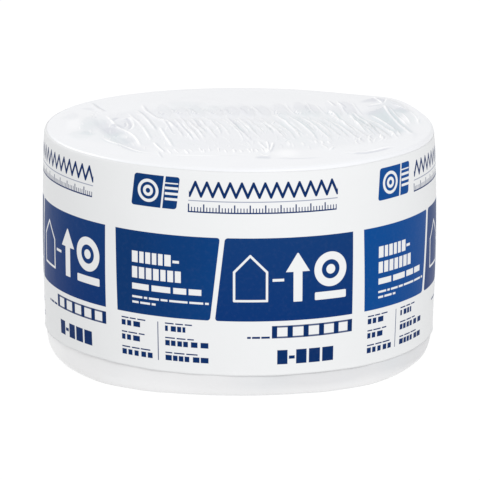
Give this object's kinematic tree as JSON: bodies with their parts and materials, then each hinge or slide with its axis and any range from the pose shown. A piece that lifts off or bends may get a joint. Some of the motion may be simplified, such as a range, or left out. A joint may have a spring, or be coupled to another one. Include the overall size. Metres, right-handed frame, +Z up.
{
  "type": "insulation roll",
  "caption": "Short wide roll of glass-fibre blanket insulation standing on its end, closed by a film over each end and a printed film sleeve round its side.",
  "frame": {"origin": "centre of the flat face that the roll stands on", "axes": "+Z up along the roll's axis; -Y is the side whose print faces the viewer"},
  "size_m": [0.6627, 0.6628, 0.3874],
  "materials": {
    "glass_wool": "matt fibrous white wool",
    "end_film": "milky shrink film, pleated on the upper end, satin gloss",
    "sleeve_film": "opaque white printed film with blue ink, satin gloss"
  },
  "bodies": {
    "root": {"insulation_roll": "glass_wool", "bottom_end_film": "end_film", "top_end_film": "end_film", "printed_sleeve": "sleeve_film"}
  },
  "joints": []
}
